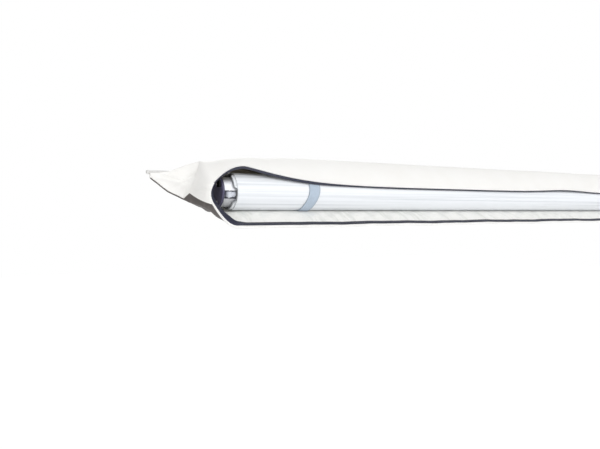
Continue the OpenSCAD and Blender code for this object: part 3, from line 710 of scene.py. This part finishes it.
class AWNING_OT_stage(bpy.types.Operator):
    """Sets the camera, the soft studio light and the pale floor"""
    bl_idname = "awning.stage"
    bl_label = "Stage"
    camera_place, camera_lens = (-1.4845, -1.166, -0.0815), 33.6
    camera_tilt, camera_way = 88.62, (0.5075, 0.8616)  # degrees from straight down; view in x and y
    floor_z = -2.32
    # Name, place, target, width in metres and power in watts
    lamps = (
        ("key_light", (2.07, -6.08, 4.37), (-0.4, 0, 0), 6.5, 210),
        ("left_light", (-5.65, -3.8, 2.33), (-0.9, 0, -0.05), 4.6, 86),
        ("low_light", (-0.6, -3.0, -1.5), (-0.5, 0, -0.1), 2.6, 25),
        ("rear_light", (0.3, 3.2, 1.2), (0, 0, -0.05), 3.0, 34),
    )

    def execute(self, context):
        scene = context.scene
        scene.view_settings.view_transform = "Standard"
        pick()
        bpy.ops.object.camera_add(location=self.camera_place,
                                  rotation=(radians(self.camera_tilt), 0, -atan2(*self.camera_way)))
        camera = context.object
        camera.name = "photo_camera"
        camera.data.lens = self.camera_lens
        camera.data.clip_start = 0.01
        scene.camera = camera
        for name, place, target, size, power in self.lamps:
            aim = (Vector(target) - Vector(place)).to_track_quat("-Z", "Y").to_euler()
            bpy.ops.object.light_add(type="AREA", location=place, rotation=aim)
            lamp = context.object
            lamp.name = name
            lamp.data.size = size
            lamp.data.energy = power
        scene.world = bpy.data.worlds.new("studio")
        scene.world.use_nodes = True
        self.white_for_rays(scene.world.node_tree, 0.62)
        bpy.ops.mesh.primitive_plane_add(size=40, location=(0, 0, self.floor_z))
        floor = context.object
        floor.name = "studio_floor"
        floor.data.materials.append(self.floor_finish())
        return {"FINISHED"}

    def seen(self, tree):
        """1 for camera, glossy and transmission rays."""
        rays = node("LightPath", {}, tree).outputs
        first = worked("MAXIMUM", rays["Is Camera Ray"], rays["Is Glossy Ray"])
        return worked("MAXIMUM", first, rays["Is Transmission Ray"])

    def white_for_rays(self, tree, strength):
        """Shows a white surround that lights the scene less than it looks."""
        dim = tree.nodes["Background"]
        dim.inputs["Strength"].default_value = strength
        dim.inputs["Color"].default_value = (1, 1, 1, 1)
        white = node("Background", {"Color": (1, 1, 1, 1), "Strength": 1}, tree)
        pick_white = node("MixShader", {0: self.seen(tree), 1: dim.outputs[0], 2: white.outputs[0]})
        tree.links.new(pick_white.outputs[0], tree.nodes["World Output"].inputs["Surface"])

    def floor_finish(self):
        """Pale floor that looks white to the camera."""
        material, shader = finish("pale_floor", (0.9, 0.9, 0.9), 0.9)
        haze = clouds(places(shader, "Object"), 3, 2)
        tone = tint(haze, (0.89, 0.89, 0.89), (0.91, 0.91, 0.91))
        tree = shader.id_data
        tree.links.new(tone, shader.inputs["Base Color"])
        white = node("Emission", {"Color": (1, 1, 1, 1), "Strength": 1.08}, tree)
        share = worked("MULTIPLY", self.seen(tree), 0.9)
        glow = node("MixShader", {0: share, 1: shader.outputs[0], 2: white.outputs[0]})
        tree.links.new(glow.outputs[0], tree.nodes["Material Output"].inputs["Surface"])
        return material


class AWNING_OT_flap(bpy.types.Operator):
    """Makes the flap with its two closed ends, left and right of mid-length"""
    bl_idname = "awning.flap"
    bl_label = "Flap and closed ends"
    flap_columns, end_columns = 130, 40
    flap_depth, end_reach = 0.145, 0.11  # the cloth's own metres across the flap and along a closed end

    def execute(self, context):
        bag, sizes = opened(context)
        rows, all_rows = bag.upper_rows, bag.upper_rows + bag.lower_rows
        for side, name in SIDES:
            def over(u, v):
                x = side * sizes.sleeve_x * u
                return Vector((x, *bag.flap(x, v)))

            def round_end(u, v):
                a, y, z = bag.closed_end(u, v)
                return Vector((side * a, y, z))

            def end_chart(u, v):
                return sizes.sleeve_x + self.end_reach * u, self.flap_depth * v * all_rows / rows

            flap = laid_sheet(f"flap_{name}", self.flap_columns, rows, over,
                              lambda u, v: (sizes.sleeve_x * u, self.flap_depth * v), flip=side > 0)
            end = laid_sheet("closed_end", self.end_columns, all_rows, round_end, end_chart,
                             flip=side > 0)
            sewn(flap, end)
            # The flap's inner face is dark brown: painted shade under the flap
            cut_cloth(flap, sizes.cloth, cloth_of("bag_cloth"), cloth_of("lining_shade_cloth"), angle=50)
            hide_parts("top_flap", f"end_sleeve_{name}")
            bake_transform(flap)
        return {"FINISHED"}


class AWNING_OT_mouth_trim(bpy.types.Operator):
    """Makes the zip tapes and hems round the mouth"""
    bl_idname = "awning.mouth_trim"
    bl_label = "Zip tapes and hems"
    tape_thick, hem_thick = 0.0006, 0.0004

    def execute(self, context):
        self.flap_edge(*opened(context))
        self.lower_edge(*opened(context))
        return {"FINISHED"}

    def flap_edge(self, bag, sizes):
        """Tape and hem along the flap's rim; the tape narrows towards the middle and the ends."""
        t = sizes.cloth
        hidden = sizes.tape / 2
        steps = 150
        hem_rows = [(-sizes.hem, t + 0.0001), (0.0003 - sizes.hem, t + 0.0007), (-0.0025, t + 0.0008),
                    (-0.0008, t + 0.0008), (0.0004, t + 0.0005), (0.0008, 0.5 * t), (0.0004, -0.0004),
                    (-0.0006, -0.0006), (-0.0030, -0.0006), (-sizes.hem, -0.0005)]
        for side, name in SIDES:
            line = []
            for n in range(steps + 1):
                x = side * sizes.sleeve_x * n / steps
                point, out = bag.rim(x)
                line.append(((x, *point), (0, *out), 0))
            if side > 0:
                line.reverse()
            reaches = [abs(point[0]) for point, _, _ in line]
            shown = [sizes.tape * mix(0.52, 1, ease((a - 0.68) / 0.18))
                     * mix(1, 0.45, ease((a - 0.985) / 0.06)) for a in reaches]
            tape = ribbon(f"flap_tape_{name}", line, lambda n: [
                (mix(-hidden, shown[n], k / 6), -0.0010) for k in range(7)])
            cut_cloth(tape, self.tape_thick, cloth_of("zip_tape_weave"), offset=0)
            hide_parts("upper_zip_tape")
            share = [mix(0.2, 1, ease((sizes.sleeve_x - a) / 0.03)) for a in reaches]
            hem = ribbon(f"flap_hem_{name}", line, lambda n: [
                (reach * share[n], mix(0.5 * t, rise, mix(0.7, 1, share[n])))
                for reach, rise in hem_rows])
            cut_cloth(hem, self.hem_thick, cloth_of("hem_cloth"), offset=-1)
            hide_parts("flap_hem")
            for trim in (tape, hem):
                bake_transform(trim)

    def lower_edge(self, bag, sizes):
        """Tape and hem from end to end of the mouth's lower edge."""
        t = sizes.cloth
        line = bag.mouth()
        hem_w = [w for _, _, w in line]
        tape_w = [mix(0.4 * sizes.tape, sizes.lip_tape, ease((w - hem_w[0]) / 0.0018)) for w in hem_w]
        tape = ribbon("mouth_tape", line, lambda n: [
            (mix(max(0.0003, hem_w[n] - 0.002), hem_w[n] + tape_w[n], k / 8), 0.0005) for k in range(9)])
        cut_cloth(tape, self.tape_thick, cloth_of("zip_tape_weave"), offset=0)
        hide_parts("lower_zip_tape")

        def fold(n):
            w = hem_w[n] + 0.0004
            return [(w, 0.0008), (w - 0.0003, 0.0013), (0.5 * w, 0.0014), (0.0, 0.0012),
                    (-0.0008, 0.0006), (-0.0010, -0.5 * t), (-0.0006, -t - 0.0003),
                    (0.0002, -t - 0.0007), (0.8 * w, -t - 0.0006), (w, -t - 0.0001)]

        hem = ribbon("mouth_hem", line, fold)
        cut_cloth(hem, self.hem_thick, cloth_of("hem_cloth"), offset=-1)
        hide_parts("lip_hem")
        for trim in (tape, hem):
            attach(trim, "bag")


class AWNING_OT_bottom_panel(bpy.types.Operator):
    """Makes the bottom panel with its lip and rising ends, painted shade under it and pale inside"""
    bl_idname = "awning.bottom_panel"
    bl_label = "Bottom panel"
    rows, columns = 44, 320  # columns along the straight lip
    depth = 0.135  # across the panel, in the cloth's own metres
    tail_columns, tail_chart, tail_thick = 40, (0.09, 0.012), 0.0005

    def execute(self, context):
        bag, sizes = opened(context)
        ends = [sizes.sleeve_x, bag.apex[0], bag.corner[0]]
        marks = [mix(sizes.mouth_end, sizes.sleeve_x, n / 12) for n in range(12)]
        marks += [mix(ends[0], ends[1], n / 8) for n in range(8)]
        marks += [mix(ends[1], ends[2], n / 3) for n in range(4)]
        inner = [mix(-sizes.mouth_end, sizes.mouth_end, n / self.columns)
                 for n in range(1, self.columns)]
        xs = [-a for a in reversed(marks)] + inner + marks

        def place(u, v):
            x = at(xs, u)
            return Vector((x, *bag.floor(x, v)))

        panel = laid_sheet("bottom_panel_cloth", len(xs) - 1, self.rows, place,
                           lambda u, v: (at(xs, u), self.depth * v))
        sewn(panel)
        # The panel's outer face is in painted shade
        cut_cloth(panel, sizes.cloth, cloth_of("underside_shade_cloth"), cloth_of("lip_cloth"))
        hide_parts("bottom_panel", "lip_gusset_left", "lip_gusset_right")
        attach(panel, "bag")
        for side, name in SIDES:
            self.tail_shade_edge(bag, side, name)
        return {"FINISHED"}

    def tail_shade_edge(self, bag, side, name):
        """Dark strip folded round the tail's lower edge: painted shade along that edge."""
        fold = ((-0.0062, 0.0012), (-0.0063, 0.0002), (-0.0058, -0.0012), (-0.0046, -0.0017),
                (-0.0028, -0.0015), (-0.0016, 0.0004), (-0.0015, 0.0060))

        def place(u, v):
            a = mix(bag.corner[0] - 0.004, bag.s.tail_x - 0.001, u)
            y, z = at(fold, v)
            return Vector((side * a, y + 0.0004 * sin(a * 300), bag.low_at(a) + z))

        # Dark cloth along the tail's lower edge: painted shade
        tape = laid_sheet(f"tail_shade_edge_{name}", self.tail_columns, len(fold) - 1, place,
                          lambda u, v: (self.tail_chart[0] * u, self.tail_chart[1] * v), flip=side > 0)
        cut_cloth(tape, self.tail_thick, cloth_of("underside_shade_cloth"), offset=-1)
        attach(tape, "bag")


class AWNING_OT_back(bpy.types.Operator):
    """Makes the back panel, the keder piping with its flag, and the canopy's seam strip"""
    bl_idname = "awning.back"
    bl_label = "Back panel and keder"
    panel_columns, panel_rows, piping_columns, strip_columns = 180, 12, 120, 100
    piping_thick, strip_thick = 0.0009, 0.0008
    panel_wide, piping_wide, strip_wide = 0.078, 0.0253, 0.017  # the cloth's own metres

    def execute(self, context):
        bag, sizes = opened(context)
        low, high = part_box("back_panel")

        def back(u, v):
            x = mix(-sizes.tail_x, sizes.tail_x, u)
            z = mix(high[2], bag.low_at(abs(x)), v)
            slack = 0.0005 * sin(pi * v) * (1 + noise.noise(Vector((x * 7, z * 20, 2))))
            return Vector((x, high[1] - slack, z))

        panel = laid_sheet("back_panel_cloth", self.panel_columns, self.panel_rows, back,
                           lambda u, v: (2 * sizes.tail_x * u, self.panel_wide * v), flip=True)
        cut_cloth(panel, high[1] - low[1], cloth_of("bag_cloth"), offset=-1)
        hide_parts("back_panel")

        keder_low, keder_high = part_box("rail_keder")
        turn = [mix(214, -120, n / 26) for n in range(27)]
        section = [(low[1] - 0.0001, keder_low[2])] + [polar((0, 0), keder_high[2], a) for a in turn]
        section.append((high[1], keder_low[2]))

        def wrap(u, v):
            return Vector((mix(-sizes.keder_x, sizes.keder_x, u), *at(section, v)))

        piping = laid_sheet("keder_piping", self.piping_columns, len(section) - 1, wrap,
                            lambda u, v: (2 * sizes.keder_x * u, self.piping_wide * v))
        # Piping in painted shade
        cut_cloth(piping, self.piping_thick, cloth_of("piping_shade_cloth"), offset=-1)
        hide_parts("rail_keder")

        strip_low, strip_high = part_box("canopy_seam_strip")
        bend = (strip_high[1] - strip_low[1]) / 2
        fold = [(strip_high[1], strip_high[2]), (strip_high[1], strip_low[2] + bend)]
        fold += [(strip_high[1] - bend + bend * cos(radians(a)),
                  strip_low[2] + bend * (1 - sin(radians(a)))) for a in (20, 50, 90, 130, 160)]
        fold += [(strip_low[1], strip_low[2] + bend), (strip_low[1], strip_high[2])]

        def lap(u, v):
            y, z = at(fold, v)
            x = mix(strip_low[0], strip_high[0], u)
            return Vector((x, y, z + 0.0003 * noise.noise(Vector((x * 20, 0, v)))))

        strip = laid_sheet("canopy_seam_cloth", self.strip_columns, len(fold) - 1, lap,
                           lambda u, v: (2 * u, self.strip_wide * v))
        cut_cloth(strip, self.strip_thick, cloth_of("hem_cloth"), offset=-1)
        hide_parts("canopy_seam_strip")
        for piece in (panel, piping, strip):
            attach(piece, "bag")
        return {"FINISHED"}


class AWNING_OT_zip_teeth(bpy.types.Operator):
    """Makes the row of zip teeth on the lip's tape"""
    bl_idname = "awning.zip_teeth"
    bl_label = "Zip teeth"
    tooth_box, tooth_bevel = (0.0017, 0.0036, 0.0017), 0.0004
    # Tooth's middle in from the lip's edge and above its cloth, and its sideways stagger
    inset, above, stagger = 0.0080, 0.0017, 0.0004

    def execute(self, context):
        bag, sizes = opened(context)
        pitch = sizes.tooth
        count = int(2 * sizes.mouth_end / pitch)
        pick()
        bpy.ops.mesh.primitive_cube_add(size=1)
        teeth = context.object
        teeth.name = teeth.data.name = "zip_teeth"
        for v in teeth.data.vertices:
            v.co = [c * wide for c, wide in zip(v.co, self.tooth_box)]
        modified(teeth, "BEVEL", width=self.tooth_bevel, segments=1)
        modified(teeth, "ARRAY", count=count, use_relative_offset=False, use_constant_offset=True,
                 constant_offset_displace=(pitch, 0, 0))
        inward = (-bag.lip_dir[0], -bag.lip_dir[1])
        up = (-inward[1], inward[0])
        start = -(count - 1) * pitch / 2
        for v in teeth.data.vertices:
            tooth = round(v.co.x / pitch)
            x = start + v.co.x
            y, z = bag.floor(start + tooth * pitch, 1)
            reach = self.inset + v.co.y + (self.stagger if tooth % 2 else -self.stagger)
            rise = self.above + v.co.z
            v.co = (x, y + inward[0] * reach + up[0] * rise, z + inward[1] * reach + up[1] * rise)
        plastic = moulded("zip_teeth_plastic", context.scene.awning_colours.teeth, 0.4, 1500)
        teeth.data.materials.append(plastic)
        pick(teeth)
        bpy.ops.object.shade_smooth_by_angle(angle=radians(30))
        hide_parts("lower_zip_chain")
        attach(teeth, "bag")
        return {"FINISHED"}


class AWNING_OT_canopy(bpy.types.Operator):
    """Winds the canopy on its tube, layer on layer, and runs its free end to the seam"""
    bl_idname = "awning.canopy"
    bl_label = "Wound canopy"
    columns, rows_per_turn, run_columns, run_rows = 36, 72, 60, 28
    thick, run_thick, run_long = 0.0005, 0.0006, 0.0283
    mean_r = 0.0365  # radius of the middle layer
    leave, seam = (-0.0325, -0.0017), (-0.0059, -0.01135)  # ends of the free run, [y, z]

    def execute(self, context):
        bag, sizes = opened(context)
        turns = (sizes.roll_r - sizes.tube_r) / sizes.layer - 0.15
        wound_length = 2 * pi * self.mean_r * turns
        arms = [atan2(low[2] + high[2] - 2 * bag.axis[1], low[1] + high[1] - 2 * bag.axis[0])
                for low, high in (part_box("leg_head_left"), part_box("rafter_head_left"))]

        def wind(u, v):
            """The inner layers stand out at the ends, but not beside the arms' slots."""
            turn = turns * v
            y, z = bag.winding(turn)
            angle = atan2(z - bag.axis[1], y - bag.axis[0])
            room = max(1 - ease((abs(sin((angle - arm) / 2)) - 0.17) / 0.08) for arm in arms)
            step_out = 0.0058 * ease((turn - 1.6) / 0.5)
            step_out += 0.0009 * noise.noise(Vector((turn * 1.3, 4, u)))
            x = mix(-1, 1, u) * (sizes.half_canopy + mix(step_out, -0.0008, room))
            slack = noise.noise(Vector((x * 0.8, cos(angle) * 9, sin(angle) * 9)))
            return Vector((x, *bag.swell(y, z, 1 + 0.0075 * slack * ease(turn / 0.15))))

        wound = laid_sheet("wound_canopy", self.columns, int(turns * self.rows_per_turn), wind,
                           lambda u, v: (2 * sizes.half_canopy * u, wound_length * v), flip=True)
        # Inner face and cut edges of the wound layers: painted shade between the layers
        cut_cloth(wound, self.thick, cloth_of("canopy_wound"), cloth_of("canopy_edge_shade"), angle=50)
        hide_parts("canopy_roll")
        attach(wound, "roll")

        def run(u, v):
            x = mix(-sizes.half_canopy, sizes.half_canopy, u)
            return Vector((x, *mix_point(self.leave, self.seam, v)))

        free = laid_sheet("canopy_run", self.run_columns, self.run_rows, run,
                          lambda u, v: (2 * sizes.half_canopy * u, self.run_long * v))
        cut_cloth(free, self.run_thick, cloth_of("canopy_flat"), offset=0)
        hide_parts("canopy_web")
        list(self.seam)
        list(self.leave)
        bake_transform(free)
        return {"FINISHED"}


class AWNING_OT_straps(bpy.types.Operator):
    """Makes the two straps that hold the roll in the bag"""
    bl_idname = "awning.straps"
    bl_label = "Straps"
    columns, gap, thick = 10, 0.0015, 0.0009
    # Ends of a strap at the back panel, [y, z], and its way round the roll in degrees
    top_end, low_end = [(-0.0059, -0.0066), (-0.0150, -0.0022)], [(-0.0095, -0.0648), (-0.0037, -0.0610)]
    way_round = range(75, 319, 4)

    def execute(self, context):
        bag, sizes = opened(context)
        hug = [polar(bag.axis, sizes.roll_r + self.gap, a) for a in self.way_round]
        path = self.top_end + hug + self.low_end
        run = runs(path)
        last = len(path) - 1
        for side, name in SIDES:
            centre = side * (sizes.half_canopy - sizes.strap_in)

            def band(u, v):
                n = round(v * last)
                y, z = path[n]
                across = (u - 0.5) * sizes.strap
                curl = 1 + 0.010 * (2 * u - 1) ** 4 + 0.006 * sin(run[n] * 90 + 6 * u)
                skew = 0.0012 * sin(run[n] * 26) + side * 0.011 * ease((run[n] - 0.098) / 0.058)
                return Vector((centre + across + skew, *bag.swell(y, z, curl)))

            strap = laid_sheet(f"strap_cloth_{name}", self.columns, last, band,
                               lambda u, v: (at(run, v), sizes.strap * u))
            cut_cloth(strap, self.thick, cloth_of("strap_weave"), angle=50)
            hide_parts(f"strap_{name}")
            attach(strap, "bag")
            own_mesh(strap)
        return {"FINISHED"}


class AWNING_OT_cap_rivets(bpy.types.Operator):
    """Makes the domed rivets on the end caps' faces, pale as painted highlights"""
    bl_idname = "awning.cap_rivets"
    bl_label = "Cap rivets"
    # Direction in degrees from the wall side upwards, and distance from the roll's axis in metres
    marks = ((91, 0.0160), (272, 0.0215), (332, 0.0265))
    radius, height, dome = 0.0023, 0.0018, 0.0010

    def execute(self, context):
        scene = context.scene
        axis = (scene.awning_sizes.axis_y, scene.awning_sizes.axis_z)
        # Pale rivets: painted highlights
        pale = moulded("rivet_painted_glint", scene.awning_colours.rivet, 0.4, 900, 0.08)
        for side, name in SIDES:
            heads = []
            for angle, reach in self.marks:
                x = -side * CAP_LOW[0] + side * 0.3 * self.height
                pick()
                bpy.ops.mesh.primitive_cylinder_add(
                    vertices=24, radius=self.radius, depth=self.height,
                    location=(x, *polar(axis, reach, angle)), rotation=(0, side * pi / 2, 0))
                bpy.ops.object.transform_apply(location=True, rotation=True, scale=True)
                modified(context.object, "BEVEL", width=self.dome, segments=3)
                heads.append(context.object)
            pick(*heads)
            bpy.ops.object.join()
            rivets = context.object
            rivets.name = rivets.data.name = f"cap_rivets_{name}"
            rivets.data.materials.append(pale)
            bpy.ops.object.shade_smooth_by_angle(angle=radians(40))
            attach(rivets, "roll")
        return {"FINISHED"}


class AWNING_OT_hardware(bpy.types.Operator):
    """Finishes the tubes, caps, pins, arms and zip slider"""
    bl_idname = "awning.hardware"
    bl_label = "Metal and plastic parts"

    def execute(self, context):
        c = context.scene.awning_colours
        finishes = {
            "tube_aluminium": brushed_metal("tube_anodised", c.aluminium, 0.52),
            "arm_aluminium": brushed_metal("arm_anodised", shade(c.aluminium, 0.94), 0.48),
            # Caps: painted light on their end faces
            "cap_plastic": moulded("cap_moulding", c.cap, 0.42, 900, 0.10,
                                   painted_light_from=-CAP_LOW[0] - 0.0002),
            "head_plastic": moulded("head_moulding", c.head, 0.45, 900, 0.08),
            "socket_plastic": moulded("socket_moulding", c.socket, 0.5, 900, 0.10),
            "steel": brushed_metal("plated_steel", c.steel, 0.3, (300, 300, 300)),
            "zip_metal": brushed_metal("zip_plating", c.steel, 0.25, (500, 500, 500)),
            "collar_plastic": moulded("collar_moulding", c.collar, 0.55, 600, 0.15),
            "foot_rubber": moulded("foot_rubber", c.rubber, 0.75, 350, 0.3, 0.3),
            # Keder cord: painted shade at the keder's end
            "keder_cord": moulded("keder_cord", c.cord, 0.6, 500, 0.15),
            "canopy_cloth": cloth_of("canopy_flat"),
        }
        for name, thing in frame["nodes"].items():
            material = finishes.get(SLOT_OF.get(name))
            if material and not thing.hide_render:
                for place in thing.material_slots:
                    place.material = material
        return {"FINISHED"}


class AWNING_PT_panel(bpy.types.Panel):
    """Lists the awning's sizes, colours and pieces"""
    bl_idname = "AWNING_PT_panel"
    bl_label = "Awning"
    bl_space_type = "VIEW_3D"
    bl_region_type = "UI"
    bl_category = "Awning"

    def draw(self, context):
        for group in (context.scene.awning_sizes, context.scene.awning_colours):
            box = self.layout.box()
            for key in group.__annotations__:
                box.prop(group, key)
        for operator in PIECES:
            self.layout.operator(operator.bl_idname)


PIECES = (
    AWNING_OT_stage, AWNING_OT_back, AWNING_OT_bottom_panel, AWNING_OT_flap, AWNING_OT_mouth_trim,
    AWNING_OT_zip_teeth, AWNING_OT_canopy, AWNING_OT_straps, AWNING_OT_cap_rivets, AWNING_OT_hardware)
CLASSES = (AwningSizes, AwningColours, *PIECES, AWNING_PT_panel)


def register():
    for cls in CLASSES:
        bpy.utils.register_class(cls)
    bpy.types.Scene.awning_sizes = PointerProperty(type=AwningSizes)
    bpy.types.Scene.awning_colours = PointerProperty(type=AwningColours)


def unregister():
    del bpy.types.Scene.awning_colours
    del bpy.types.Scene.awning_sizes
    for cls in reversed(CLASSES):
        bpy.utils.unregister_class(cls)


def main():
    register()
    bpy.ops.awning.stage()
    bpy.ops.awning.back()
    bpy.ops.awning.bottom_panel()
    bpy.ops.awning.flap()
    bpy.ops.awning.mouth_trim()
    bpy.ops.awning.zip_teeth()
    bpy.ops.awning.canopy()
    bpy.ops.awning.straps()
    bpy.ops.awning.cap_rivets()
    bpy.ops.awning.hardware()


if __name__ == "__main__":
    main()
